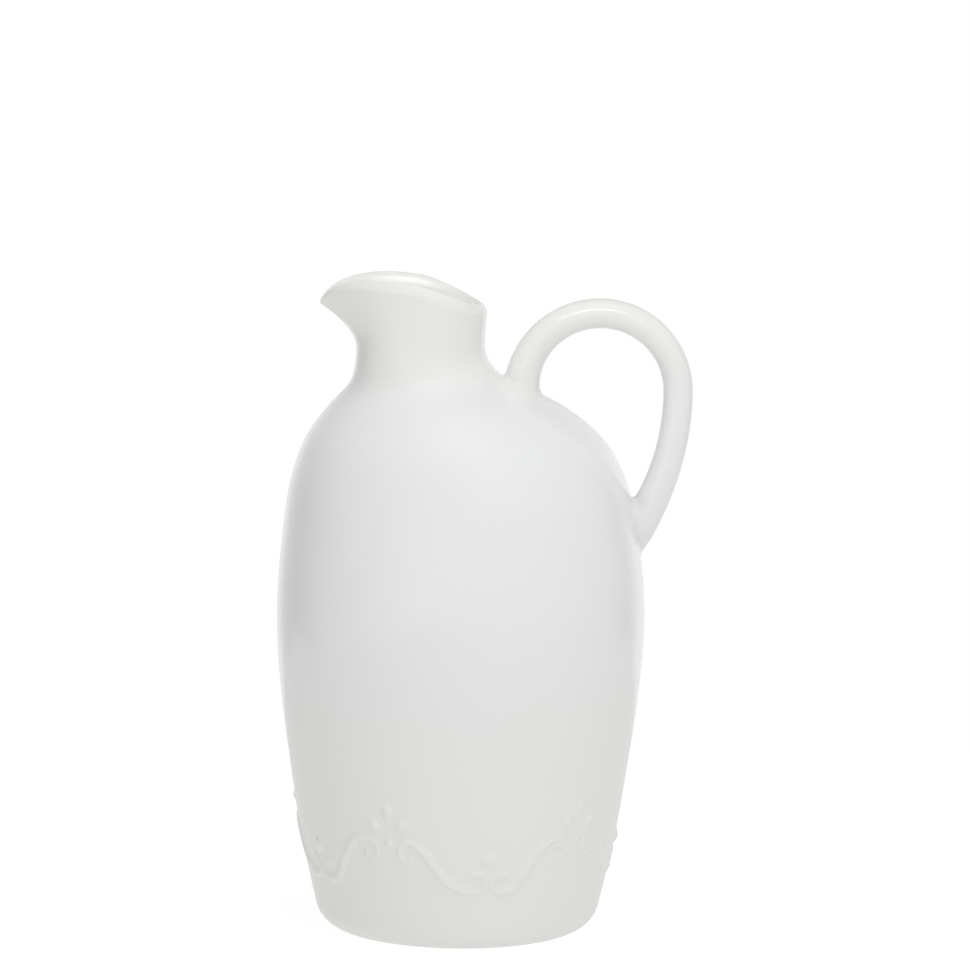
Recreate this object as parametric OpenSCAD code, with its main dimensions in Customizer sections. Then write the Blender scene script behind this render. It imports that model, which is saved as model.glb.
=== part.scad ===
// Ewer: a glazed ceramic jug with a leaning neck, a beak-shaped lip, a loop handle
// and a band of scrolls and fleurs in relief round its lower belly.
// Frame: +Z up, the spout toward -X, the handle toward +X, Z = 0 on the ground,
// and the Z axis through the middle of the belly. Lengths are in millimetres.

/* [Body wall] */
// Largest radius of the belly
belly_r = 73.5; // [60:0.5:90]
// How much narrower than the belly the wall would be at ground level
foot_in = 19; // [10:0.5:24]
// How much narrower than the belly the waist is
waist_in = 7.5; // [4:0.5:10]
// Height of the waist above the ground
waist_z = 55; // [42:1:70]
// Rise from the waist to the largest ring
belly_rise = 71; // [50:1:100]
// How much narrower than the belly the start of the shoulder is
shoulder_in = 4.5; // [2:0.5:7]
// Rise from the largest ring to the start of the shoulder
shoulder_rise = 46; // [30:1:60]
// How much narrower than the belly the bend of the shoulder is
bend_in = 12; // [8:0.5:16]
// Rise from the start of the shoulder to its bend
bend_rise = 22; // [14:1:32]
// How much wider than the throat the slope to the neck is at its middle
slope_out = 20.5; // [14:0.5:24]
// Rise from the bend of the shoulder to the middle of the slope
slope_rise = 17; // [11:1:25]
// How much wider than the throat the nape is, where the slope turns up into the neck
nape_out = 4; // [3:0.5:9]
// Rise from the middle of the slope to the nape
nape_rise = 11; // [8:1:16]
// Radius of the throat, the narrowest ring
throat_r = 25.5; // [20:0.5:30]
// Rise from the nape to the throat
throat_rise = 11; // [8:1:16]
// How far the throat stands off the belly's axis, toward the spout
neck_lean = 17.2; // [0:0.2:24]
// Thickness of the wall
wall = 4.5; // [3:0.1:6]

/* [Foot] */
// Rounding of the heel
heel_round = 9; // [2:0.5:9]
// Depth of the hollow under the floor
foot_recess = 3; // [1:0.5:5]
// Width of the ring that the ewer stands on
foot_ring_w = 7; // [4:0.5:14]
// Thickness of the floor
floor_t = 6; // [4:0.5:9]

/* [Neck and lip] */
// Rise from the throat to the lip's crest at the tip of the spout
tip_rise = 19.5; // [14:0.5:28]
// Rise from the throat to the lip's highest point, on both sides of the spout
crest_rise = 28.5; // [20:0.5:36]
// Rise from the throat to the lip's crest at the back
back_rise = 18; // [10:0.5:24]
// Angle round the lip from the spout to the highest point
crest_angle = 65; // [45:1:90]
// How far the tip of the spout stands out beyond the throat
spout_reach = 14.7; // [6:0.1:20]
// How late the spout curls out: 1 is straight, more curls out near the lip
spout_curl = 1.8; // [1.5:0.1:4]
// How far the spout is pinched: 0 is round, 1 is sharp
spout_pinch = 0.6; // [0:0.05:1]
// How far the lip flares at the back and sides
lip_flare = 0.8; // [0:0.1:3]
// Thickness of the lip
lip_t = 4.4; // [2.5:0.1:5]
// Height of the lip's slope at the tip of the spout, from its outer edge up to its crest
tip_bevel = 2.4; // [1:0.1:4]
// Height of the lip's slope where it is tallest, on both sides of the back
side_bevel = 4.6; // [1:0.1:6]
// Height of the lip's slope at the back
back_bevel = 3; // [1:0.1:5]

/* [Handle] */
// Distance from the back of the throat to the middle of the handle's upper root
handle_set = 14.5; // [11:0.5:20]
// Height of the loop's centre below the throat
handle_drop = 16.3; // [8:0.1:22]
// Radius of the loop, along the middle of the handle
loop_r = 31.2; // [26:0.2:38]
// Radius of the tail, which runs from the loop down to the belly
tail_r = 103; // [90:1:150]
// Thickness of the handle, in the plane of the loop
handle_t = 11.8; // [9:0.1:15]
// Width of the handle, across the loop
handle_w = 13; // [10:0.1:17]
// How much thicker the handle is at its two roots
root_swell = 2.8; // [0:0.1:4]
// Reach of the slip that fills the corner round each root
lute_size = 4.5; // [2:0.1:6]

/* [Relief band] */
// Height of the middle of the lowest scroll above the ground
band_z = 24.5; // [20:0.5:36]
// Angle from the front of the ewer to the first fleur
band_turn = -25; // [-36:1:36]
// Rise from the middle of the lowest scroll to the middle of the highest
scroll_h = 20; // [16:0.5:26]
// Width of the scrolls
ribbon_w = 3.4; // [2.4:0.1:3.8]
// Height of the middle of each fleur above the lowest scroll
fleur_rise = 25; // [23:0.5:34]
// Length of a fleur's upper petal, from the fleur's middle
petal_l = 10.4; // [6:0.2:12]
// Length of a fleur's side petals
side_petal_l = 8.6; // [5:0.2:10]
// Length of the stalk and berry under a fleur
berry_l = 7; // [5:0.2:7.4]
// Radius of the middle of each fleur
fleur_core = 2.3; // [1.5:0.1:3]
// Height of the pearl over each trough above the lowest scroll
pearl_rise = 14; // [13:0.5:20]
// Radius of the pearls
pearl_r = 3; // [2:0.1:3.4]
// Height of the relief above the wall
relief = 0.8; // [0.6:0.1:2.4]

/* [Hidden] */
// How many times the ornament repeats round the belly
repeats = 5;
pitch = 360 / repeats;
// Room between a seated piece and the wall, for the facets of both
seat_gap = 0.1;
// Room between the slip and the wall, whose facets stand out where it is hollow
lute_gap = 0.3;
// Spacing of the five samples that soften the bends of the outline
soften = 2.5;
// Step of the measured slope of the wall
slope_step = 0.5;
// Share of the lean that grows evenly as the wall closes in, and the power of the rest
lean_even = 0.62;
lean_power = 4;
// Power of the swell toward the roots of the handle
swell_power = 4;
// Crowding of the shoulder's rows toward the throat
row_crowding = 1.5;
// Step along a scroll's path that gives its direction
path_step = 0.05;
// Power of the drop from the lip's highest point to its back
back_fall = 1.2;
// Share of the lip's thickness that slopes outward, and how straight that slope is: 1 is round, 2 straight
crest_share = 0.45;
lip_straight = 1.4;
// Angle round the lip from the spout to the tallest slope
bevel_angle = 135;
// Sides of the lofted rings and of the handle, and rows of each loft
ring_sides = 48;
handle_sides = 20;
shoulder_rows = 15;
neck_rows = 8;
handle_rows = 36;
wall_rows = 24;
heel_steps = 8;
sprig_sides = 32;
// Halvings of the search for the place where the handle meets the wall
search_steps = 18;

belly_z = waist_z + belly_rise;
shoulder_z = belly_z + shoulder_rise;
bend_z = shoulder_z + bend_rise;
slope_z = bend_z + slope_rise;
nape_z = slope_z + nape_rise;
throat_z = nape_z + throat_rise;
floor_z = foot_recess + floor_t;
glaze = "#e7e7e3";

// Outline of the wall: height and radius of each named ring
stations = [
    [0, belly_r - foot_in],
    [waist_z, belly_r - waist_in],
    [belly_z, belly_r],
    [shoulder_z, belly_r - shoulder_in],
    [bend_z, belly_r - bend_in],
    [slope_z, throat_r + slope_out],
    [nape_z, throat_r + nape_out],
    [throat_z, throat_r]
];
last_station = len(stations) - 1;

function rise(i) = stations[i + 1][0] - stations[i][0];
function secant(i) = (stations[i + 1][1] - stations[i][1]) / rise(i);

// Slope at an inner ring: zero at a widest or narrowest ring, so no ring is overshot
function ring_slope(i) =
    secant(i - 1) * secant(i) <= 0
        ? 0
        : 3 * (rise(i - 1) + rise(i))
            / ((2 * rise(i) + rise(i - 1)) / secant(i - 1) + (rise(i) + 2 * rise(i - 1)) / secant(i));

slopes = [
    for (i = [0:last_station])
        i == 0 ? (3 * secant(0) - ring_slope(1)) / 2
        : i == last_station ? 0
        : ring_slope(i)
];

// Radius of the smooth curve through the stations
function outline_r(z) =
    z <= 0 ? stations[0][1] + slopes[0] * z
    : z >= throat_z ? throat_r
    : let (
        i = max([for (k = [0:last_station - 1]) if (stations[k][0] <= z) k]),
        h = rise(i),
        t = (z - stations[i][0]) / h
    )
        (1 + 2 * t) * pow(1 - t, 2) * stations[i][1]
        + t * pow(1 - t, 2) * h * slopes[i]
        + t * t * (3 - 2 * t) * stations[i + 1][1]
        + t * t * (t - 1) * h * slopes[i + 1];

// Outer radius of the wall, with the bends of the outline softened
function wall_r(z) =
    (outline_r(z - 2 * soften) + 4 * outline_r(z - soften) + 6 * outline_r(z)
        + 4 * outline_r(z + soften) + outline_r(z + 2 * soften)) / 16;

function wall_slope(z) = (wall_r(z + slope_step) - wall_r(z - slope_step)) / (2 * slope_step);

// Middle of the wall's ring along X: it leans toward the spout as the wall closes in
function lean(z) =
    z <= belly_z
        ? 0
        : let (closed = (belly_r - wall_r(z)) / (belly_r - throat_r))
            -neck_lean * (lean_even * closed + (1 - lean_even) * pow(closed, lean_power));

// Point at an angle and a height on the wall, a distance off along the wall's normal
function on_wall(angle, z, off) =
    let (s = wall_slope(z), n = sqrt(1 + s * s), r = wall_r(z) + off / n)
        [lean(z) + r * cos(angle), r * sin(angle), z - off * s / n];

// Horizontal thickness of the wall where it slopes
function wall_inset(z) = wall * sqrt(1 + pow(wall_slope(z), 2));

function inside_wall(p) =
    p.z < throat_z && norm([p.x - lean(p.z), p.y]) < wall_r(p.z) + seat_gap;

// Two triangles for each cell between two closed rings of n points
function band_faces(a, b, n) = [
    for (j = [0:n - 1])
        let (k = (j + 1) % n)
            each [[a + j, b + j, b + k], [a + j, b + k, a + k]]
];

// Solid of closed rings that run round and come back to the first one
module ring_solid(rows) {
    n = len(rows[0]);
    m = len(rows);
    polyhedron(
        points = [for (row = rows) each row],
        faces = [for (i = [0:m - 1]) each band_faces(i * n, ((i + 1) % m) * n, n)],
        convexity = 8
    );
}

// Solid of closed rings in a line, with a point that closes each end
module capped_solid(first, rows, last) {
    n = len(rows[0]);
    m = len(rows);
    polyhedron(
        points = concat([first], [for (row = rows) each row], [last]),
        faces = concat(
            [for (j = [0:n - 1]) [0, 1 + j, 1 + (j + 1) % n]],
            [for (i = [0:m - 2]) each band_faces(1 + i * n, 1 + (i + 1) * n, n)],
            [for (j = [0:n - 1]) [m * n + 1, (m - 1) * n + 1 + (j + 1) % n, (m - 1) * n + 1 + j]]
        ),
        convexity = 8
    );
}

// Floor slab with the rounded heel and the ring that the ewer stands on
module base() {
    heel = min(heel_round, floor_z);
    heel_arc = [
        for (i = [0:heel_steps])
            let (a = 90 * i / heel_steps, z = heel * (1 - cos(a)))
                [wall_r(z) - heel * (1 - sin(a)), z]
    ];
    ring_in = heel_arc[0].x - foot_ring_w;
    color(glaze)
        rotate_extrude($fn = 96)
            polygon(concat(
                [[0, floor_z], [0, foot_recess], [ring_in - foot_recess / 2, foot_recess], [ring_in, 0]],
                heel_arc,
                [[wall_r(floor_z), floor_z]]
            ));
}

// Round wall from the floor to the widest ring
module belly() {
    heights = [for (i = [0:wall_rows]) floor_z + (belly_z - floor_z) * i / wall_rows];
    color(glaze)
        rotate_extrude($fn = 96)
            polygon(concat(
                [for (z = heights) [wall_r(z), z]],
                [for (i = [wall_rows:-1:0]) [wall_r(heights[i]) - wall, heights[i]]]
            ));
}

function shoulder_height(i) =
    belly_z + (throat_z - belly_z) * (1 - pow(1 - i / shoulder_rows, row_crowding));

function shoulder_ring(i, inset) =
    let (z = shoulder_height(i), r = wall_r(z) - inset)
        [for (j = [0:ring_sides - 1]) let (a = 360 * j / ring_sides) [lean(z) + r * cos(a), r * sin(a), z]];

// Closing wall from the widest ring to the throat, leaning toward the spout
module shoulder() {
    color(glaze)
        ring_solid(concat(
            [for (i = [0:shoulder_rows]) shoulder_ring(i, 0)],
            [for (i = [shoulder_rows:-1:0])
                shoulder_ring(i, i == 0 || i == shoulder_rows ? wall : wall_inset(shoulder_height(i)))]
        ));
}

neck_x = lean(throat_z);
neck_r = wall_r(throat_z);

// Height of the lip's crest above the throat, by the angle from the spout
function crest_height(a) =
    a < crest_angle
        ? tip_rise + (crest_rise - tip_rise) * sin(90 * a / crest_angle)
        : back_rise + (crest_rise - back_rise)
            * pow((1 + cos(180 * (a - crest_angle) / (180 - crest_angle))) / 2, back_fall);

// Height of the lip's slope, from its outer edge up to its crest, by the angle from the spout
function lip_bevel(a) =
    a < bevel_angle
        ? tip_bevel + (side_bevel - tip_bevel) * (1 - cos(180 * a / bevel_angle)) / 2
        : back_bevel + (side_bevel - back_bevel)
            * (1 + cos(180 * (a - bevel_angle) / (180 - bevel_angle))) / 2;

// Point of the neck by angle from the spout, by share v of the way up to the lip's outer edge and by share
// lift of the way up the lip's slope
function neck_point(t, v, inset, lift) =
    let (
        a = t > 180 ? 360 - t : t,
        front = cos(t) > 0,
        flare = lip_flare * v * v,
        half_x = neck_r + (front ? spout_reach * pow(v, spout_curl) : flare) - inset,
        half_y = neck_r + flare - inset,
        pinch = front ? 1 + spout_pinch * v * v : 1
    )
        [
            neck_x - half_x * cos(t),
            half_y * sign(sin(t)) * pow(abs(sin(t)), pinch),
            throat_z + v * (crest_height(a) - lip_bevel(a)) + lift * lip_bevel(a)
        ];

function neck_ring(v, inset, lift) =
    [for (j = [0:ring_sides - 1]) neck_point(360 - 360 * j / ring_sides - 180 / ring_sides, v, inset, lift)];

function neck_wall(v) = wall + (lip_t - wall) * v;

// Neck with the pouring lip
module neck() {
    outer_angles = [25, 50, 90];
    inner_angles = [60, 30];
    slope_w = crest_share * lip_t;
    color(glaze)
        ring_solid(concat(
            [for (i = [0:neck_rows]) neck_ring(i / neck_rows, 0, 0)],
            [for (a = outer_angles)
                neck_ring(1, slope_w * (1 - pow(cos(a), lip_straight)), pow(sin(a), lip_straight))],
            [for (a = inner_angles)
                neck_ring(1, slope_w + (lip_t - slope_w) * cos(a), sin(a))],
            [for (i = [neck_rows:-1:0]) neck_ring(i / neck_rows, neck_wall(i / neck_rows), 0)]
        ));
}

// The handle's middle line: a lead inside the body, the loop, and the tail
loop_x = neck_x + neck_r + handle_set + loop_r;
loop_z = throat_z - handle_drop;
handle_lead = 40;
loop_len = PI * loop_r;
tail_turn = 62;
tail_len = tail_turn * PI / 180 * tail_r;
handle_len = handle_lead + loop_len + tail_len;

// Middle and outward normal at a distance along the handle
function handle_line(s) =
    s < handle_lead
        ? [[loop_x - loop_r, 0, loop_z - handle_lead + s], [-1, 0, 0]]
        : let (
            on_loop = s < handle_lead + loop_len,
            a = on_loop
                ? 180 - (s - handle_lead) / loop_r * 180 / PI
                : -(s - handle_lead - loop_len) / tail_r * 180 / PI,
            r = on_loop ? loop_r : tail_r,
            x = on_loop ? loop_x : loop_x + loop_r - tail_r,
            n = [cos(a), 0, sin(a)]
        )
            [[x, 0, loop_z] + r * n, n];

function handle_point(s, angle, share, extra) =
    let (
        line = handle_line(s),
        past_top = max(-1, min(1, 2 * (s - upper_s) / (lower_s - upper_s) - 1)),
        swell = root_swell * pow(abs(past_top), swell_power),
        half_t = (handle_t + swell) / 2 + extra,
        half_w = (handle_w + swell) / 2 + extra
    )
        line[0] + share * (half_t * cos(angle) * line[1] + [0, half_w * sin(angle), 0]);

// Distance at which a line of the handle leaves the wall, between one inside and one outside
function leave(inner, outer, angle, share, extra, steps) =
    steps == 0
        ? (inner + outer) / 2
        : let (middle = (inner + outer) / 2)
            inside_wall(share == 0 ? handle_line(middle)[0] : handle_point(middle, angle, share, extra))
                ? leave(middle, outer, angle, share, extra, steps - 1)
                : leave(inner, middle, angle, share, extra, steps - 1);

function upper_root(angle, share, extra) =
    leave(0, handle_lead + loop_len / 2, angle, share, extra, search_steps);
function lower_root(angle, share, extra) =
    leave(handle_len, handle_lead + loop_len, angle, share, extra, search_steps);

upper_s = upper_root(0, 0, 0);
lower_s = lower_root(0, 0, 0);
handle_angles = [for (j = [0:handle_sides - 1]) 360 * j / handle_sides];

// Loop handle, cut to the wall at both roots
module handle() {
    inner_share = 0.5;
    starts = [for (a = handle_angles) upper_root(a, 1, 0)];
    ends = [for (a = handle_angles) lower_root(a, 1, 0)];
    color(glaze)
        capped_solid(
            handle_line(upper_s)[0],
            concat(
                [[for (a = handle_angles) handle_point(upper_root(a, inner_share, 0), a, inner_share, 0)]],
                [for (i = [0:handle_rows])
                    [for (j = [0:handle_sides - 1])
                        handle_point(
                            starts[j] + (ends[j] - starts[j]) * i / handle_rows, handle_angles[j], 1, 0)]],
                [[for (a = handle_angles) handle_point(lower_root(a, inner_share, 0), a, inner_share, 0)]]
            ),
            handle_line(lower_s)[0]
        );
}

// Point on the wall a distance away from a root's middle, past a point of its edge
function past_root(middle, edge, reach) =
    let (
        z = edge.z,
        angle = atan2(edge.y, edge.x - lean(z)),
        r = wall_r(z),
        step = slope_step,
        up = (on_wall(angle, z + step, 0) - on_wall(angle, z - step, 0)) / (2 * step),
        away = edge - middle,
        across_part = away * [-sin(angle), cos(angle), 0],
        up_part = away * up / norm(up),
        size = norm([across_part, up_part])
    )
        on_wall(
            angle + across_part / size * reach / r * 180 / PI,
            z + up_part / size * reach / norm(up),
            lute_gap);

// Slip that fills the corner between the handle and the wall round one root
module lute(middle, roots, direction) {
    fill = [0, 0.25, 0.5, 0.75, 1];
    corners = [for (j = [0:handle_sides - 1]) handle_point(roots[j], handle_angles[j], 1, seat_gap)];
    ups = [
        for (j = [0:handle_sides - 1])
            handle_point(roots[j] + direction * lute_size, handle_angles[j], 1, seat_gap)
    ];
    outs = [for (corner = corners) past_root(middle, corner, lute_size)];
    rows = concat(
        [corners],
        [for (f = fill)
            [for (j = [0:handle_sides - 1])
                pow(1 - f, 2) * ups[j] + 2 * f * (1 - f) * corners[j] + f * f * outs[j]]]
    );
    color(glaze) ring_solid(direction > 0 ? [for (i = [len(rows) - 1:-1:0]) rows[i]] : rows);
}

module upper_handle_lute() {
    lute(handle_line(upper_s)[0], [for (a = handle_angles) upper_root(a, 1, seat_gap)], 1);
}

module lower_handle_lute() {
    lute(handle_line(lower_s)[0], [for (a = handle_angles) lower_root(a, 1, seat_gap)], -1);
}

band_r = wall_r(band_z);

// Point on the relief band by angle from the front and by rise above the lowest scroll
function on_band(turn, rise_up, height) = on_wall(turn - 90, band_z + rise_up, seat_gap + height);

// Boss with lobes of [direction, length, spread] round its core
module boss(turn, rise_up, core, lobes) {
    shares = [0.4, 0.75, 0.93, 1];
    back_share = 0.5;
    reach = [
        for (j = [0:sprig_sides - 1])
            let (a = 360 * j / sprig_sides)
                core + [for (lobe = lobes)
                    let (d = abs((a - lobe[0] + 540) % 360 - 180))
                        (lobe[1] - core) * exp(-pow(d / lobe[2], 2))]
                    * [for (lobe = lobes) 1]
    ];
    function ring(share, height) = [
        for (j = [0:sprig_sides - 1])
            let (a = 360 * j / sprig_sides, d = share * reach[j])
                on_band(turn + d * cos(a) / band_r * 180 / PI, rise_up + d * sin(a), height)
    ];
    color(glaze)
        capped_solid(
            on_band(turn, rise_up, 0),
            concat(
                [ring(back_share, 0)],
                [for (i = [len(shares) - 1:-1:0]) ring(shares[i], relief * sqrt(1 - pow(shares[i], 2)))]
            ),
            on_band(turn, rise_up, relief)
        );
}

// Three petals over a berry
module fleur(i) {
    petals = [[90, petal_l, 18], [24, side_petal_l, 18], [156, side_petal_l, 18], [270, berry_l, 20]];
    boss(band_turn + pitch * (i - 1), fleur_rise, fleur_core, petals);
}

// Round pearl over the trough between two scrolls: its one lobe is no longer than its core
module pearl(i) {
    boss(band_turn + pitch * (i - 0.5), pearl_rise, pearl_r, [[90, pearl_r, 90]]);
}

// Point on a smooth curve through hand-chosen places
function curve(p, t) =
    let (
        i = min(floor(t), len(p) - 2),
        f = t - i,
        a = p[max(i - 1, 0)],
        b = p[i],
        c = p[i + 1],
        d = p[min(i + 2, len(p) - 1)]
    )
        (2 * b + (c - a) * f + (2 * a - 5 * b + 4 * c - d) * f * f
            + (3 * b - a - 3 * c + d) * f * f * f) / 2;

// Rounded ribbon along places given as [angle from the fleur, share of the scroll's height]
module ribbon(turn, places) {
    spans = 3;
    rows = spans * (len(places) - 1);
    across = [-1, -0.65, 0, 0.65, 1];
    heights = [0, 0.72, 1, 0.72, 0];
    end_shares = [0.45, 0.85];
    deg = 180 / PI / band_r;
    function share(i) = let (k = min(i, rows - i)) k < len(end_shares) ? end_shares[k] : 1;
    function row(i) =
        let (
            t = i / spans,
            p = curve(places, t),
            q = curve(places, min(t + path_step, len(places) - 1)) - curve(places, max(t - path_step, 0)),
            step = [q.x / deg, q.y * scroll_h],
            along = step / norm(step),
            half = ribbon_w / 2 * share(i)
        )
            [for (k = [0:len(across) - 1])
                on_band(
                    turn + p.x + along.y * half * across[k] * deg,
                    p.y * scroll_h - along.x * half * across[k],
                    relief * share(i) * heights[k])];
    first = curve(places, 0);
    last = curve(places, len(places) - 1);
    color(glaze)
        capped_solid(
            on_band(turn + first.x, first.y * scroll_h, relief * end_shares[0] / 2),
            [for (i = [0:rows]) row(i)],
            on_band(turn + last.x, last.y * scroll_h, relief * end_shares[0] / 2)
        );
}

// Scroll from a fleur's right volute down to a volute in the trough on its right
module left_scroll(i) {
    places = [
        [8.6, 0.78], [6.7, 0.65], [4.4, 0.73], [4, 0.89], [6.2, 1.03], [9, 1.02], [11.6, 0.88], [14.2, 0.7],
        [17.3, 0.46], [20.6, 0.24], [24.2, 0.1], [28.4, 0.03], [32.2, 0.05], [34.9, 0.18], [34.4, 0.36],
        [31.8, 0.43], [29.9, 0.34]
    ];
    ribbon(band_turn + pitch * (i - 1), places);
}

// Scroll from a volute in the trough up to the left volute of the fleur on its right
module right_scroll(i) {
    places = [
        [-28.2, 0.33], [-30, 0.43], [-33.2, 0.36], [-34.3, 0.18], [-32, 0.04], [-28.4, 0], [-25.2, 0.08],
        [-22.9, 0.27], [-20.8, 0.47], [-18, 0.69], [-14.8, 0.9], [-12, 1.02], [-9, 1.06], [-6.2, 1.02],
        [-4.5, 0.87], [-6, 0.7], [-8.8, 0.71], [-9.3, 0.84]
    ];
    ribbon(band_turn + pitch * i, places);
}

base();
belly();
shoulder();
neck();
handle();
upper_handle_lute();
lower_handle_lute();
for (i = [1:repeats]) {
    fleur(i);
    pearl(i);
    left_scroll(i);
    right_scroll(i);
}
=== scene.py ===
# %% [markdown]
# # A white glazed ewer
#
# The real ewer is pottery. A potter throws a round wall, leans and closes its shoulder, pinches the lip
# into a beak, lutes on a rolled handle and presses thin sprigs of scrollwork round the lower belly. One
# coat of white glaze then runs over all of it and rounds every corner. This lesson dresses the packed
# model in that one soft skin. Everything stays in the model's own coordinates: +Z is up, the spout points
# to -X, the front is -Y, and the middle of the foot is the origin. The shapes are worked out in
# millimetres and built in metres.

# %% Load the imported model in its own coordinates
import math

import bpy
import numpy as np
from mathutils import Matrix, Vector


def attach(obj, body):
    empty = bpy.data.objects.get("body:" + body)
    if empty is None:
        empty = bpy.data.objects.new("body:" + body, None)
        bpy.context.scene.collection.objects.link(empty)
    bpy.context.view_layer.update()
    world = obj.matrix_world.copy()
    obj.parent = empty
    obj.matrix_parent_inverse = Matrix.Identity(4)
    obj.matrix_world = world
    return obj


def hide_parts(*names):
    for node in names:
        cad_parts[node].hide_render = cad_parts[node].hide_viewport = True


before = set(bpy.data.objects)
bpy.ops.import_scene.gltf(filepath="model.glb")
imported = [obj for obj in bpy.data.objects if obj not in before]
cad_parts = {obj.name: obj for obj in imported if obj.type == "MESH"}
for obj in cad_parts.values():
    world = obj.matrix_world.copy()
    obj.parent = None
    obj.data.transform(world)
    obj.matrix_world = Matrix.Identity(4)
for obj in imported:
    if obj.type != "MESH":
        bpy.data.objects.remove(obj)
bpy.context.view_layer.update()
scene = bpy.context.scene
MM = 0.001

# %% [markdown]
# ## The camera
#
# The ewer was photographed with a long lens from a little over two metres away, nine degrees above the
# horizon, so its foot is a shallow curve and its sides hardly converge. A short lens close by would give
# the same framing, but it would bend the foot too much. The camera is placed by that distance and height,
# and then turned until a point on the ewer's axis falls on its own pixel of the 970 pixel photograph,
# with the small roll that the photograph has.

# %% Camera at the photograph's viewing angle
PHOTO_SIDE = 970
FOCUS_PIXELS = 5625
CAMERA_DISTANCE = 2.25
CAMERA_HEIGHT_ANGLE = math.radians(9)
CAMERA_ROLL = math.radians(0.71)
AIM = Vector((0, 0, 0.130))
AIM_PIXEL = (460.8, 604.9)
SENSOR = 36
FAR_CLIP = 50

level_right = Vector((1, 0, 0))
level_up = Vector((0, math.sin(CAMERA_HEIGHT_ANGLE), math.cos(CAMERA_HEIGHT_ANGLE)))
toward_ewer = Vector((0, math.cos(CAMERA_HEIGHT_ANGLE), -math.sin(CAMERA_HEIGHT_ANGLE)))
rolled_right = level_right * math.cos(CAMERA_ROLL) + level_up * math.sin(CAMERA_ROLL)
rolled_up = level_up * math.cos(CAMERA_ROLL) - level_right * math.sin(CAMERA_ROLL)
beside_aim = rolled_right * (PHOTO_SIDE / 2 - AIM_PIXEL[0])
above_aim = rolled_up * (AIM_PIXEL[1] - PHOTO_SIDE / 2)
forward = (toward_ewer * FOCUS_PIXELS + beside_aim + above_aim).normalized()
right = (rolled_right - forward * rolled_right.dot(forward)).normalized()
up = right.cross(forward)

lens = bpy.data.cameras.new("studio_camera")
lens.sensor_width = SENSOR
lens.lens = FOCUS_PIXELS * SENSOR / PHOTO_SIDE
lens.clip_end = FAR_CLIP
camera = bpy.data.objects.new("studio_camera", lens)
turn = Matrix((right, up, -forward)).transposed().to_4x4()
camera.matrix_world = Matrix.Translation(AIM - toward_ewer * CAMERA_DISTANCE) @ turn
scene.collection.objects.link(camera)
scene.camera = camera
print("camera lens in mm:", round(lens.lens, 1))

# %% [markdown]
# ## The outline of the wall
#
# A potter shapes the wall with a rib, so the outline is one smooth curve through a few rings: foot,
# waist, belly, shoulder, bend, slope, nape and throat. A spline through so few points tends to swing past
# them. The curve here takes its slope at each ring from the slopes on both sides, and levels out at the
# widest ring and at the throat, so it never swings past one. A light running average then softens the
# bends, as the glaze does.

# %% Radius and lean of the wall by height
# Height and radius of each ring in millimetres
RINGS = {
    "foot": (0, 54.5),
    "waist": (55, 66),
    "belly": (126, 73.5),
    "shoulder": (172, 69),
    "bend": (194, 61.5),
    "slope": (211, 46),
    "nape": (222, 29.5),
    "throat": (233, 25.5),
}
SOFTEN = 2.5
SOFTEN_WEIGHTS = (1, 4, 6, 4, 1)
SLOPE_STEP = 0.05
NECK_LEAN = 17.2
LEAN_EVEN = 0.62
LEAN_POWER = 4
belly_z, belly_r = RINGS["belly"]
throat_z, throat_r = RINGS["throat"]
ring_z, ring_r = np.array(list(RINGS.values()), float).T
rises = np.diff(ring_z)
secants = np.diff(ring_r) / rises
ring_slopes = np.zeros(len(ring_z))
for i in range(1, len(rises)):
    if secants[i - 1] * secants[i] > 0:
        weight_below = (2 * rises[i] + rises[i - 1]) / secants[i - 1]
        weight_above = (rises[i] + 2 * rises[i - 1]) / secants[i]
        ring_slopes[i] = 3 * (rises[i - 1] + rises[i]) / (weight_below + weight_above)
ring_slopes[0] = (3 * secants[0] - ring_slopes[1]) / 2


def outline_r(z):
    """Radius of the smooth curve through the rings, straight below the foot and above the throat."""
    z = np.asarray(z, float)
    i = np.clip(np.searchsorted(ring_z, z, side="right") - 1, 0, len(rises) - 1)
    h = rises[i]
    t = np.clip((z - ring_z[i]) / h, 0, 1)
    start = (1 + 2 * t) * (1 - t) ** 2 * ring_r[i] + t * (1 - t) ** 2 * h * ring_slopes[i]
    end = t * t * (3 - 2 * t) * ring_r[i + 1] + t * t * (t - 1) * h * ring_slopes[i + 1]
    return start + end + np.minimum(z, 0) * ring_slopes[0]


def wall_r(z):
    """Outer radius of the wall, with the bends softened by a running average."""
    middle = len(SOFTEN_WEIGHTS) // 2
    taps = [w * outline_r(np.asarray(z) + SOFTEN * (k - middle)) for k, w in enumerate(SOFTEN_WEIGHTS)]
    return sum(taps) / sum(SOFTEN_WEIGHTS)


def wall_slope(z):
    """Change of the radius with height."""
    z = np.asarray(z)
    return (wall_r(z + SLOPE_STEP) - wall_r(z - SLOPE_STEP)) / (2 * SLOPE_STEP)


def lean(z):
    """Middle of the wall's ring along X: it leans toward the spout as the wall closes in."""
    closed = (belly_r - wall_r(z)) / (belly_r - throat_r)
    shift = -NECK_LEAN * (LEAN_EVEN * closed + (1 - LEAN_EVEN) * closed**LEAN_POWER)
    return np.where(np.asarray(z) > belly_z, shift, 0)


print("throat radius and lean in mm:", round(float(wall_r(throat_z)), 2), round(float(lean(throat_z)), 2))

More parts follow.
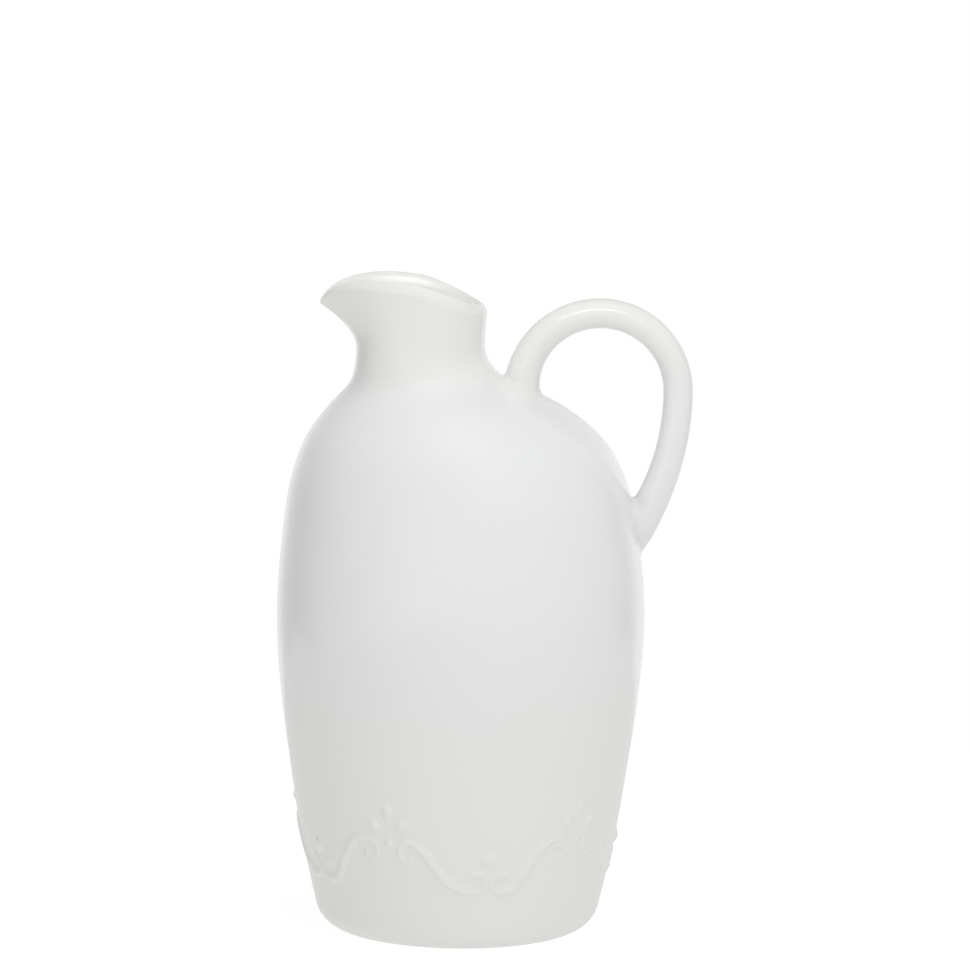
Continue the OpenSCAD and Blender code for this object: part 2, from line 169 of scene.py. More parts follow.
# %% [markdown]
# ## The finishes
#
# All that shows is one glaze: a tin-white gloss glaze, poured and fired. It is a thin coat of glass, so
# it has the IOR of glass and a low roughness. A clear coat could be layered over clay in the shader, but
# this glaze is opaque, so one coat that is white all through does it. It isn't one flat white. Round the
# belly and the shoulder, where it lies thickest, it is coolest. At the heel, the neck and the top of the
# handle it is thinner and a little warmer, and over a few centimetres it drifts between the two. In the
# corners of the handle's slip it pools, and there it is a little greener and darker. Its surface also
# waves very slightly, as poured glass does. Under the foot the ring was wiped clean before firing, so the
# kiln shelf wouldn't stick, and the bare clay there is matt and buff.

# %% Colour and node helpers
# Places of the Mix node's colour sockets, because it has a set of sockets for each type of data
MIX_FIRST = 6
MIX_SECOND = 7
MIX_RESULT = 2


def to_linear(hex_colour):
    """sRGB hex colour as linear RGBA."""
    channels = [int(hex_colour[i : i + 2], 16) / 255 for i in (1, 3, 5)]
    return [c / 12.92 if c <= 0.04045 else ((c + 0.055) / 1.055) ** 2.4 for c in channels] + [1]


def add_node(tree, kind, settings=None, values=None, links=None):
    """Adds a node with its settings, its own values and its links: a node's first output or a socket."""
    node = tree.nodes.new(kind)
    for name, value in (settings or {}).items():
        setattr(node, name, value)
    for name, value in (values or {}).items():
        node.inputs[name].default_value = value
    for name, source in (links or {}).items():
        socket = source.outputs[0] if isinstance(source, bpy.types.Node) else source
        tree.links.new(socket, node.inputs[name])
    return node


def new_material(name):
    """An empty material, with its tree."""
    material = bpy.data.materials.new(name)
    material.use_nodes = True
    material.node_tree.nodes.clear()
    return material, material.node_tree


def finished_surface(tree, colour, height, depth_mm, look):
    """Ends a material: a surface with its colour and look, and the fine relief of a noise."""
    depth = {"Strength": 1, "Distance": depth_mm * MM}
    bump = add_node(tree, "ShaderNodeBump", values=depth, links={"Height": height})
    skin = {"Base Color": colour.outputs[MIX_RESULT], "Normal": bump}
    shader = add_node(tree, "ShaderNodeBsdfPrincipled", values=look, links=skin)
    add_node(tree, "ShaderNodeOutputMaterial", links={"Surface": shader})


print("mid grey in linear light:", [round(c, 3) for c in to_linear("#808080")])

# %% White gloss glaze: milky and even, with soft reflections and faint pools
GLAZE_COOL = "#e8e9ea"
GLAZE_WARM = "#eae9e5"
GLAZE_POOL = "#e3e4e0"
GLAZE_ROUGHNESS = 0.16
GLASS_IOR = 1.5
DRIFT_MM = 60
DRIFT_SHARE = 0.5
# Heights at which the coat is thinnest and thickest, for the lower and the upper part
THIN_LOW_MM = (60, 112)
THIN_HIGH_MM = (250, 206)
WAVE_MM = 14
WAVE_DEPTH_MM = 0.03


def white_gloss_glaze():
    """The glaze: cool where its coat is thick, warm where it is thin, and darker in its pools."""
    material, tree = new_material("white_gloss_glaze")
    place = add_node(tree, "ShaderNodeTexCoord").outputs["Object"]
    height = add_node(tree, "ShaderNodeSeparateXYZ", links={"Vector": place}).outputs["Z"]
    coats = []
    for thin, thick in (THIN_LOW_MM, THIN_HIGH_MM):
        ends = {"From Min": thin * MM, "From Max": thick * MM}
        coats.append(add_node(tree, "ShaderNodeMapRange", values=ends, links={"Value": height}))
    coat = add_node(tree, "ShaderNodeMath", {"operation": "MINIMUM"}, links={0: coats[0], 1: coats[1]})
    drift_size = {"Scale": 1 / (DRIFT_MM * MM), "Detail": 2}
    drift = add_node(tree, "ShaderNodeTexNoise", values=drift_size, links={"Vector": place})
    drifted = add_node(tree, "ShaderNodeMath", {"operation": "MULTIPLY"}, {1: DRIFT_SHARE}, {0: drift})
    blend = {0: coat, 2: drifted}
    coolness = add_node(tree, "ShaderNodeMath", {"operation": "MULTIPLY_ADD"}, {1: 1 - DRIFT_SHARE}, blend)
    hues = {MIX_FIRST: to_linear(GLAZE_WARM), MIX_SECOND: to_linear(GLAZE_COOL)}
    body = add_node(tree, "ShaderNodeMix", {"data_type": "RGBA"}, hues, {0: coolness})
    pool = add_node(tree, "ShaderNodeAttribute", {"attribute_name": "glaze_pool"})
    pooled = {0: pool.outputs["Fac"], MIX_FIRST: body.outputs[MIX_RESULT]}
    pool_hue = {MIX_SECOND: to_linear(GLAZE_POOL)}
    colour = add_node(tree, "ShaderNodeMix", {"data_type": "RGBA"}, pool_hue, pooled)
    wave_size = {"Scale": 1 / (WAVE_MM * MM), "Detail": 1}
    wave = add_node(tree, "ShaderNodeTexNoise", values=wave_size, links={"Vector": place})
    gloss = {"Roughness": GLAZE_ROUGHNESS, "IOR": GLASS_IOR}
    finished_surface(tree, colour, wave, WAVE_DEPTH_MM, gloss)
    return material


glaze = white_gloss_glaze()
print("finish:", glaze.name)

# %% Bare fired clay: matt, buff and finely speckled
CLAY_LIGHT = "#d8cfbf"
CLAY_DARK = "#bfb29d"
CLAY_ROUGHNESS = 0.85
# Real grit is finer: it is drawn as coarse as it needs to be to show
GRIT_MM = 1.2
GRIT_DEPTH_MM = 0.1


def bare_fired_clay():
    """The clay of the standing ring, where the glaze was wiped off."""
    material, tree = new_material("bare_fired_clay")
    place = add_node(tree, "ShaderNodeTexCoord").outputs["Object"]
    grit_size = {"Scale": 1 / (GRIT_MM * MM), "Detail": 3}
    grit = add_node(tree, "ShaderNodeTexNoise", values=grit_size, links={"Vector": place})
    hues = {MIX_FIRST: to_linear(CLAY_LIGHT), MIX_SECOND: to_linear(CLAY_DARK)}
    colour = add_node(tree, "ShaderNodeMix", {"data_type": "RGBA"}, hues, {0: grit})
    finished_surface(tree, colour, grit, GRIT_DEPTH_MM, {"Roughness": CLAY_ROUGHNESS})
    return material


clay = bare_fired_clay()
print("finish:", clay.name)

# %% [markdown]
# ## Throwing the wall
#
# On the wheel, one section of the wall sweeps round the axis. A Geometry Nodes tree does the same: a
# polyline holds the section from the middle of the underside, round the heel, up the outside, over the
# lip, down the inside and to the middle of the floor, and the tree sweeps it round a circle. Each point
# of the section carries its own lean, so the tree can also push the rings toward the spout. The section
# is one line, so no seam shows where the base, belly, shoulder and neck of the real pot were joined: the
# glaze hides them. The sweep leaves the faces turned inward, so the tree flips them, because the sprigs
# need normals that point out of the wall.

# %% The wall's section
WALL = 4.5
LIP = 4.4
LIP_SLOPE = 0.45 * LIP
LIP_STRAIGHT = 1.4
HEEL_ROUND = 9
FOOT_RECESS = 3
FOOT_RING = 7
FLOOR_Z = 9
FLOOR_ROUND = 7
NECK_RISE = 20
OUTER_STEP = 1.5
INNER_STEP = 3
UNDER_STEP = 1
UNDER_EASING = 4
HEEL_ROWS = 8
NECK_ROWS = 24
BEVEL_ROWS = 10
LIP_INNER_ROWS = 6
NECK_INNER_ROWS = 16
FILLET_ROWS = 6
FLOOR_SHARES = (0.75, 0.5, 0.25, 0)


def even_points(corners, step):
    """Points about a step apart along a broken line."""
    corners = np.array(corners, float)
    lengths = np.r_[0, np.cumsum(np.linalg.norm(np.diff(corners, axis=0), axis=1))]
    places = np.linspace(0, lengths[-1], int(lengths[-1] / step) + 1)
    return np.column_stack([np.interp(places, lengths, corners[:, k]) for k in range(2)])


def eased(points, rounds):
    """The line with its corners rounded by a running average; its ends stay."""
    points = points.copy()
    for _ in range(rounds):
        points[1:-1] = (points[:-2] + 2 * points[1:-1] + points[2:]) / 4
    return points


def section_rows():
    """Rows of the section: radius, height, lean, share of the neck, inset and lift of the neck's skin."""
    ring_out = float(wall_r(0)) - HEEL_ROUND
    ring_in = ring_out - FOOT_RING
    under = [(0, FOOT_RECESS), (ring_in - FOOT_RECESS / 2, FOOT_RECESS), (ring_in, 0), (ring_out, 0)]
    under = eased(even_points(under, UNDER_STEP), UNDER_EASING)
    arc = np.radians(np.linspace(0, 90, HEEL_ROWS + 1))[1:]
    heel_z = HEEL_ROUND * (1 - np.cos(arc))
    heel_r = wall_r(heel_z) - HEEL_ROUND * (1 - np.sin(arc))
    outer_z = np.linspace(HEEL_ROUND, throat_z, int((throat_z - HEEL_ROUND) / OUTER_STEP) + 1)[1:]
    heel = np.column_stack([heel_r, heel_z])
    outer = np.column_stack([wall_r(outer_z), outer_z])
    body = np.vstack([under, heel, outer])
    rows = [(r, z, float(lean(z)), 0, 0, 0) for r, z in body]

    def neck_row(share, inset, lift):
        """Adds a row of the neck's skin."""
        z = throat_z + share * NECK_RISE + lift
        rows.append((throat_r - inset, z, float(lean(throat_z)), share, inset, lift))

    for share in np.linspace(0, 1, NECK_ROWS + 1)[1:]:
        neck_row(share, 0, 0)
    for a in np.radians(np.linspace(0, 90, BEVEL_ROWS + 1))[1:]:
        neck_row(1, LIP_SLOPE * (1 - math.cos(a) ** LIP_STRAIGHT), math.sin(a) ** LIP_STRAIGHT)
    for a in np.radians(np.linspace(90, 0, LIP_INNER_ROWS + 1))[1:-1]:
        neck_row(1, LIP_SLOPE + (LIP - LIP_SLOPE) * math.cos(a), math.sin(a))
    for share in np.linspace(1, 0, NECK_INNER_ROWS + 1)[:-1]:
        neck_row(share, WALL + (LIP - WALL) * share, 0)
    fillet_top = FLOOR_Z + FLOOR_ROUND
    inner_z = np.linspace(throat_z, fillet_top, int((throat_z - fillet_top) / INNER_STEP) + 1)
    inner_r = wall_r(inner_z) - WALL * np.sqrt(1 + wall_slope(inner_z) ** 2)
    rows += [(r, z, float(lean(z)), 0, 0, 0) for r, z in zip(inner_r, inner_z)]
    for a in np.radians(np.linspace(0, 90, FILLET_ROWS + 1))[1:]:
        fillet_r = inner_r[-1] - FLOOR_ROUND * (1 - math.cos(a))
        rows.append((fillet_r, fillet_top - FLOOR_ROUND * math.sin(a), 0, 0, 0, 0))
    rows += [(fillet_r * share, FLOOR_Z, 0, 0, 0, 0) for share in FLOOR_SHARES]
    return np.array(rows), len(under)


section, under_rows = section_rows()
print("rows of the section:", len(section))

# %% The lathe: a node tree that sweeps the section round the axis
MERGE_MM = 0.001


def geometry_tree(name, inputs, output):
    """A Geometry Nodes tree, the identifiers of its inputs and the sockets that give them."""
    tree = bpy.data.node_groups.new(name, "GeometryNodeTree")
    sockets = {}
    for label, kind in inputs.items():
        made = tree.interface.new_socket(label, in_out="INPUT", socket_type="NodeSocket" + kind)
        sockets[label] = made.identifier
    tree.interface.new_socket(output, in_out="OUTPUT", socket_type="NodeSocketGeometry")
    return tree, sockets, add_node(tree, "NodeGroupInput").outputs


def finished_output(tree, geometry, material):
    """Ends a Geometry Nodes tree: real geometry in its finish."""
    real = add_node(tree, "GeometryNodeRealizeInstances", links={"Geometry": geometry})
    finish = add_node(tree, "GeometryNodeSetMaterial", links={"Geometry": real, "Material": material})
    add_node(tree, "NodeGroupOutput", links={0: finish})


def lathe_tree():
    """The tree that sweeps a section round a circle, leans its rings and turns its faces out."""
    inputs = {"Section": "Geometry", "Segments": "Int", "Lathe radius": "Float", "Glaze": "Material"}
    tree, sockets, given = geometry_tree("thrown_wall", inputs, "Wall")
    ring = {"Resolution": given["Segments"], "Radius": given["Lathe radius"]}
    circle = add_node(tree, "GeometryNodeCurvePrimitiveCircle", {"mode": "RADIUS"}, links=ring)
    upright = add_node(tree, "GeometryNodeSetCurveNormal", {"mode": "Z_UP"}, links={"Curve": circle})
    line = add_node(tree, "GeometryNodeMeshToCurve", links={"Mesh": given["Section"]})
    swept = add_node(tree, "GeometryNodeCurveToMesh", links={"Curve": upright, "Profile Curve": line})
    lean_x = add_node(tree, "GeometryNodeInputNamedAttribute", {"data_type": "FLOAT"}, {"Name": "lean"})
    push = add_node(tree, "ShaderNodeCombineXYZ", links={"X": lean_x})
    leaning = add_node(tree, "GeometryNodeSetPosition", links={"Geometry": swept, "Offset": push})
    joining = {"Distance": MERGE_MM * MM}
    closed = add_node(tree, "GeometryNodeMergeByDistance", values=joining, links={"Geometry": leaning})
    outward = add_node(tree, "GeometryNodeFlipFaces", links={"Mesh": closed})
    finished_output(tree, outward, given["Glaze"])
    return tree, sockets


lathe, lathe_sockets = lathe_tree()
print("inputs of the lathe:", list(lathe_sockets))

# %% The thrown wall as a plain mesh
SEGMENTS = 256
LATHE_RADIUS = 40


def plain_mesh(mesh, tree, sockets, values, name):
    """The mesh that a node tree makes from another mesh, with no modifier left."""
    holder = bpy.data.objects.new(name + "_maker", mesh)
    scene.collection.objects.link(holder)
    modifier = holder.modifiers.new("maker", "NODES")
    modifier.node_group = tree
    for key, value in values.items():
        modifier[sockets[key]] = value
    bpy.context.view_layer.update()
    depsgraph = bpy.context.evaluated_depsgraph_get()
    result = bpy.data.meshes.new_from_object(holder.evaluated_get(depsgraph), depsgraph=depsgraph)
    result.name = name
    bpy.data.objects.remove(holder)
    return result


section_mesh = bpy.data.meshes.new("wall_section")
row_r, row_z, row_lean, row_share, row_inset, row_lift = section.T
section_points = np.column_stack([row_r - LATHE_RADIUS, -row_z, np.zeros(len(section))]) * MM
section_mesh.from_pydata(section_points.tolist(), [(i, i + 1) for i in range(len(section) - 1)], [])
row_values = {"lean": row_lean * MM, "share": row_share, "inset": row_inset, "lift": row_lift}
row_values["row"] = np.arange(len(section))
for name, values in row_values.items():
    section_mesh.attributes.new(name, "FLOAT", "POINT").data.foreach_set("value", values)

inputs = {"Segments": SEGMENTS, "Lathe radius": LATHE_RADIUS * MM, "Glaze": glaze}
wall_mesh = plain_mesh(section_mesh, lathe, lathe_sockets, inputs, "vessel_wall")
print("thrown wall:", len(wall_mesh.vertices), "points,", len(wall_mesh.polygons), "faces")

# %% [markdown]
# ## Pinching the beak
#
# The neck comes off the wheel round and level. The potter then lifts both sides of the lip, lowers the
# back and draws the front out between two fingers. A lattice or sculpting could do that, but a few
# formulas do it exactly: the rise of the lip follows the angle from the spout, and the skin between
# throat and lip moves by its share of the way up. The lip isn't flat: it slopes up from its outer edge to
# a crest further in, least at the tip and most toward the back of both sides. The finger pinch is a power
# of the sine of the angle from the spout, with its tip kept a little blunt, because glaze never leaves a
# knife edge.

# %% How high the lip rises
TIP_RISE = 19.5
CREST_RISE = 28.5
BACK_RISE = 18
CREST_ANGLE = 65
BACK_FALL = 1.2
TIP_BEVEL = 2.4
SIDE_BEVEL = 4.6
BACK_BEVEL = 3
BEVEL_ANGLE = 135
TIP_BLUNT_ANGLE = 2.5


def lip_bevel(angle):
    """Height of the lip's slope, from its outer edge up to its crest, by the angle from the spout."""
    front = TIP_BEVEL + (SIDE_BEVEL - TIP_BEVEL) * (1 - np.cos(np.pi * angle / BEVEL_ANGLE)) / 2
    past = (angle - BEVEL_ANGLE) / (180 - BEVEL_ANGLE)
    back = BACK_BEVEL + (SIDE_BEVEL - BACK_BEVEL) * (1 + np.cos(np.pi * past)) / 2
    return np.where(angle < BEVEL_ANGLE, front, back)


def lip_rise(angle):
    """Height of the lip's outer edge above the throat, by the angle from the spout in degrees."""
    blunted = np.sqrt(angle**2 + TIP_BLUNT_ANGLE**2)
    toward_crest = np.minimum(blunted / CREST_ANGLE, 1)
    front = TIP_RISE + (CREST_RISE - TIP_RISE) * np.sin(np.radians(90 * toward_crest))
    past = np.clip((angle - CREST_ANGLE) / (180 - CREST_ANGLE), 0, 1)
    back = BACK_RISE + (CREST_RISE - BACK_RISE) * ((1 + np.cos(np.pi * past)) / 2) ** BACK_FALL
    return np.where(angle < CREST_ANGLE, front, back) - lip_bevel(angle)


print("rise of the lip's edge in mm, spout to back:", lip_rise(np.array([0, 90, 180])).round(1))

# %% The neck drawn to its lip and spout
SPOUT_REACH = 14.7
SPOUT_CURL = 1.8
SPOUT_PINCH = 0.6
LIP_FLARE = 0.8
TIP_BLUNT = 0.07


def read_points(mesh):
    """The points of a mesh in millimetres."""
    flat = np.empty(len(mesh.vertices) * 3)
    mesh.vertices.foreach_get("co", flat)
    return flat.reshape(-1, 3) / MM


def read_values(mesh, name):
    """A point attribute of a mesh."""
    values = np.empty(len(mesh.vertices))
    mesh.attributes[name].data.foreach_get("value", values)
    return values


def pinch_beak(mesh):
    """Moves the round neck of the thrown wall to its lip and spout."""
    points = read_points(mesh)
    share = read_values(mesh, "share")
    inset = read_values(mesh, "inset")
    t = np.arctan2(points[:, 1], read_values(mesh, "lean") / MM - points[:, 0])
    angle = np.degrees(np.abs(t))
    z = throat_z + share * lip_rise(angle)
    flare = LIP_FLARE * share**2
    front = np.cos(t) > 0
    half_x = wall_r(z) + np.where(front, SPOUT_REACH * share**SPOUT_CURL, flare) - inset
    half_y = wall_r(z) + flare - inset
    pinch = np.where(front, SPOUT_PINCH * share**2, 0)
    narrow = ((np.sin(t) ** 2 + TIP_BLUNT**2) / (1 + TIP_BLUNT**2)) ** (pinch / 2)
    x = lean(z) - half_x * np.cos(t)
    y = half_y * np.sin(t) * narrow
    moved = np.column_stack([x, y, z + read_values(mesh, "lift") * lip_bevel(angle)])
    points[share > 0] = moved[share > 0]
    mesh.vertices.foreach_set("co", (points * MM).ravel())


pinch_beak(wall_mesh)
wall_points = read_points(wall_mesh)
print("wall in mm: lowest", wall_points.min(0).round(1), "highest", wall_points.max(0).round(1))

# %% The wall becomes a piece
SHARP_ANGLE = 60
RING_ROWS = (under_rows - FOOT_RING / UNDER_STEP, under_rows - 1)


def add_piece(mesh, name, *nodes):
    """A finished piece at the origin, riding on the one body and standing for its CAD nodes."""
    mesh.shade_smooth()
    mesh.set_sharp_from_angle(angle=math.radians(SHARP_ANGLE))
    piece = bpy.data.objects.new(name, mesh)
    scene.collection.objects.link(piece)
    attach(piece, "root")
    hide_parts(*nodes)
    return piece


def face_rows(mesh):
    """The section row of each face, as the mean of its corners."""
    rows = read_values(mesh, "row")
    return np.array([rows[list(face.vertices)].mean() for face in mesh.polygons])


wall_mesh.materials.append(clay)
rows = face_rows(wall_mesh)
bare = (rows > RING_ROWS[0]) & (rows < RING_ROWS[1])
wall_mesh.polygons.foreach_set("material_index", bare.astype(np.int32))
for name in row_values:
    wall_mesh.attributes.remove(wall_mesh.attributes[name])
vessel = add_piece(wall_mesh, "vessel_wall", "base", "belly", "shoulder", "neck")
print("faces of bare clay:", int(bare.sum()))

# %% [markdown]
# ## The rolled handle
#
# The handle is a rolled coil of clay, bent to a loop with a long tail, and luted to the wall with slip.
# The coil swells a little toward both roots. A sweep along a path would give the coil, but it would stick
# through the leaning wall or stop short of it. So each line along the coil is followed to the place where
# it meets the wall, found by halving, and the slip then leaves the coil, turns through the corner and
# runs out on the wall as one curve. The slip is longest inside the loop, shorter outside it, and wider on
# the wall at its front and back. Its edge dips just under the wall's skin, so that the slip ends in the
# glaze and not in an edge.

# %% The middle line of the handle
HANDLE_SET = 14.5
HANDLE_DROP = 16.3
LOOP_R = 31.2
TAIL_R = 103
HANDLE_T = 11.8
HANDLE_W = 13
ROOT_SWELL = 2.8
SWELL_POWER = 4
HANDLE_LEAD = 40
TAIL_TURN = 62
HALVINGS = 40
neck_x = float(lean(throat_z))
loop_x = neck_x + float(wall_r(throat_z)) + HANDLE_SET + LOOP_R
loop_z = throat_z - HANDLE_DROP
loop_len = math.pi * LOOP_R
tail_len = math.radians(TAIL_TURN) * TAIL_R


def handle_line(s):
    """Middle points and outward normals at distances along the handle: a lead, the loop and the tail."""
    s = np.asarray(s, float)
    along_loop = np.clip(s - HANDLE_LEAD, 0, loop_len)
    along_tail = np.maximum(s - HANDLE_LEAD - loop_len, 0)
    angle = np.pi - along_loop / LOOP_R - along_tail / TAIL_R
    normal = np.stack([np.cos(angle), np.zeros_like(s), np.sin(angle)], -1)
    on_tail = s > HANDLE_LEAD + loop_len
    radius = np.where(on_tail, TAIL_R, LOOP_R)
    x = np.where(on_tail, loop_x + LOOP_R - TAIL_R, loop_x)
    z = loop_z + np.minimum(s - HANDLE_LEAD, 0)
    middle = np.stack([x, np.zeros_like(s), z], -1) + radius[..., None] * normal
    return middle, normal


def handle_middle(s):
    """Points on the middle line of the handle."""
    return handle_line(s)[0]


def inside_wall(p):
    """Whether points lie inside the outer skin of the wall."""
    z = p[..., 2]
    return (z < throat_z) & (np.hypot(p[..., 0] - lean(z), p[..., 1]) < wall_r(z))


def leaving(point_at, inner, outer):
    """Distances at which lines leave the wall, found by halving between one inside and one outside."""
    for _ in range(HALVINGS):
        middle = (inner + outer) / 2
        within = inside_wall(point_at(middle))
        inner = np.where(within, middle, inner)
        outer = np.where(within, outer, middle)
    return (inner + outer) / 2


handle_top = HANDLE_LEAD + loop_len / 2
tail_start = HANDLE_LEAD + loop_len
handle_end = tail_start + tail_len
upper_s = float(leaving(handle_middle, np.array(0.0), np.array(handle_top)))
lower_s = float(leaving(handle_middle, np.array(handle_end), np.array(tail_start)))
print("handle from wall to wall in mm:", round(lower_s - upper_s, 1))

# %% The coil and the slip round its roots
HANDLE_SIDES = 96
SLIP_INNER = 4.5
SLIP_OUTER = 2.4
SLIP_SPREAD = 3
SLIP_POOL = 0.6
SLIP_ROWS = 14
SINK = 0.6
DIP_REACH = 0.4
EDGE_REACH = 1.25
EDGE_SINK = 0.1
sides = np.radians(np.arange(HANDLE_SIDES) * 360 / HANDLE_SIDES)
slip_up = (SLIP_INNER + SLIP_OUTER) / 2 - (SLIP_INNER - SLIP_OUTER) / 2 * np.cos(sides)
slip_out = slip_up + SLIP_SPREAD * np.sin(sides) ** 2


def coil_point(s):
    """A point of the coil's skin for each side, at its own distance along the handle."""
    middle, normal = handle_line(s)
    past_top = np.clip(2 * (s - upper_s) / (lower_s - upper_s) - 1, -1, 1)
    swell = ROOT_SWELL * past_top**SWELL_POWER
    half_t = (HANDLE_T + swell) / 2
    half_w = (HANDLE_W + swell) / 2
    across = np.stack([np.zeros_like(s), half_w * np.sin(sides), np.zeros_like(s)], -1)
    return middle + (half_t * np.cos(sides))[:, None] * normal + across


def on_wall(angle, z, off):
    """Points at angles and heights on the wall, a distance off along its normal."""
    slope = wall_slope(z)
    n = np.sqrt(1 + slope**2)
    r = wall_r(z) + off / n
    return np.stack([lean(z) + r * np.cos(angle), r * np.sin(angle), z - off * slope / n], -1)


def past_root(middle, edge, reach, off):
    """Points on the wall a reach beyond the edge of a root, away from its middle."""
    z = edge[:, 2]
    angle = np.arctan2(edge[:, 1], edge[:, 0] - lean(z))
    above = on_wall(angle, z + SLOPE_STEP, 0)
    below = on_wall(angle, z - SLOPE_STEP, 0)
    rise = (above - below) / (2 * SLOPE_STEP)
    steep = np.linalg.norm(rise, axis=1)
    away = edge - middle
    sideways = away[:, 1] * np.cos(angle) - away[:, 0] * np.sin(angle)
    upward = (away * rise).sum(1) / steep
    size = np.hypot(sideways, upward)
    return on_wall(angle + sideways / size * reach / wall_r(z), z + upward / size * reach / steep, off)


def slip_rows(root_s, middle_s, direction):
    """Rows of the slip at one root, from under the wall's skin up to the coil, with their pooling."""
    middle = handle_middle(middle_s)
    corner = coil_point(root_s)
    start = coil_point(root_s + direction * slip_up)
    edge = past_root(middle, corner, slip_out, 0)
    rows = [
        past_root(middle, corner, slip_out * DIP_REACH, -SINK),
        past_root(middle, corner, slip_out * EDGE_REACH, -EDGE_SINK),
    ]
    pools = [0, 0]
    for f in np.linspace(1, 0, SLIP_ROWS + 1):
        rows.append((1 - f) ** 2 * start + 2 * f * (1 - f) * corner + f * f * edge)
        pools.append(SLIP_POOL * math.sin(math.pi * f) ** 2)
    return rows, pools


upper_roots = leaving(coil_point, np.zeros(HANDLE_SIDES), np.full(HANDLE_SIDES, handle_top))
lower_roots = leaving(coil_point, np.full(HANDLE_SIDES, handle_end), np.full(HANDLE_SIDES, tail_start))
upper_slip, upper_pools = slip_rows(upper_roots, upper_s, 1)
lower_slip, lower_pools = slip_rows(lower_roots, lower_s, -1)
print("rows of slip at each root:", len(upper_slip))

# %% One skin from root to root
HANDLE_ROWS = 150


def closed_loft(rows, first, last):
    """Points and faces of a skin through rows of equal length, with a point that closes each end."""
    n = len(rows[0])
    points = np.vstack([[first], *rows, [last]])
    k = np.arange(n)
    nxt = (k + 1) % n
    faces = [(0, 1 + j, 1 + m) for j, m in zip(k, nxt)]
    for i in range(len(rows) - 1):
        a = 1 + i * n
        b = a + n
        faces += list(zip(a + k, b + k, b + nxt, a + nxt))
    end = len(points) - 1
    faces += [(end, end - n + m, end - n + j) for j, m in zip(k, nxt)]
    return points, [tuple(int(c) for c in face) for face in faces]


def new_mesh(name, points, faces, pools=0):
    """A mesh in metres from points in millimetres, with the glaze's pooling and its finish."""
    mesh = bpy.data.meshes.new(name)
    mesh.from_pydata((points * MM).tolist(), [], faces)
    pooling = mesh.attributes.new("glaze_pool", "FLOAT", "POINT")
    pooling.data.foreach_set("value", np.full(len(points), pools, float))
    mesh.materials.append(glaze)
    return mesh


coil_rows = []
for share in np.linspace(0, 1, HANDLE_ROWS + 1)[1:-1]:
    coil_rows.append(coil_point(upper_roots + slip_up + (lower_roots - upper_roots - 2 * slip_up) * share))
handle_rows = upper_slip + coil_rows + lower_slip[::-1]
row_pools = upper_pools + [0] * len(coil_rows) + lower_pools[::-1]
first = handle_middle(upper_s) + np.array([0, 0, -SINK])
last = handle_middle(lower_s) + np.array([-SINK, 0, 0])
handle_points, handle_faces = closed_loft(handle_rows, first, last)
pools = np.r_[0, np.repeat(row_pools, HANDLE_SIDES), 0]
handle_mesh = new_mesh("rolled_handle", handle_points, handle_faces, pools)
handle = add_piece(handle_mesh, "rolled_handle", "handle", "upper_handle_lute", "lower_handle_lute")
handle_x = handle_points[:, 0]
print("handle:", len(handle_x), "points, from x", handle_x.min().round(1), "to", handle_x.max().round(1))

# %% [markdown]
# ## The sprigs
#
# The relief is a band of sprigs: thin leaves of clay pressed in a plaster mould and stuck on with slip.
# Two scrolls with a volute at each end meet at a fleur and dip to a trough with a pearl over it, five
# times round. Each sprig is first modelled flat, as in its mould: along the wall, up the wall and out of
# the wall. Its skin is a soft bell that runs out on the wall, because the glaze fills the corner at its
# foot. Between its volutes a scroll widens to a ribbon that lies a little above its path, with its crest
# toward its lower edge. The volutes are narrower and lower.

# %% The place of the band and the run of its scrolls
BAND_Z = 24.5
BAND_TURN = -25
REPEATS = 5
SCROLL_H = 20
SPAN_POINTS = 24
# Degrees round from the fleur and shares of the scroll's height, from the fleur down to the trough
LEFT_SCROLL = [
    (8.6, 0.78), (6.7, 0.65), (4.4, 0.73), (4, 0.89), (6.2, 1.03), (9, 1.02), (11.6, 0.88), (14.2, 0.7),
    (17.3, 0.46), (20.6, 0.24), (24.2, 0.1), (28.4, 0.03), (32.2, 0.05), (34.9, 0.18), (34.4, 0.36),
    (31.8, 0.43), (29.9, 0.34),
]
RIGHT_SCROLL = [
    (-9.3, 0.84), (-8.8, 0.71), (-6, 0.7), (-4.5, 0.87), (-6.2, 1.02), (-9, 1.06), (-12, 1.02),
    (-14.8, 0.9), (-18, 0.69), (-20.8, 0.47), (-22.9, 0.27), (-25.2, 0.08), (-28.4, 0),
    (-32, 0.04), (-34.3, 0.18), (-33.2, 0.36), (-30, 0.43), (-28.2, 0.33),
]
band_r = float(wall_r(BAND_Z + SCROLL_H / 2))
pitch = 360 / REPEATS


def smooth_path(places, step):
    """Evenly spaced points on a smooth curve through listed places, in flat millimetres."""
    p = np.array([(math.radians(turn) * band_r, share * SCROLL_H) for turn, share in places])
    p = np.vstack([2 * p[0] - p[1], p, 2 * p[-1] - p[-2]])
    t = np.linspace(0, 1, SPAN_POINTS, endpoint=False)[:, None]
    spans = []
    for a, b, c, d in zip(p, p[1:], p[2:], p[3:]):
        square = 2 * a - 5 * b + 4 * c - d
        cube = 3 * (b - c) + d - a
        spans.append(b + (t * (c - a) + t**2 * square + t**3 * cube) / 2)
    return even_points(np.vstack(spans + [p[-2:-1]]), step)


print("radius of the band in mm:", round(band_r, 1), "one repeat in degrees:", pitch)

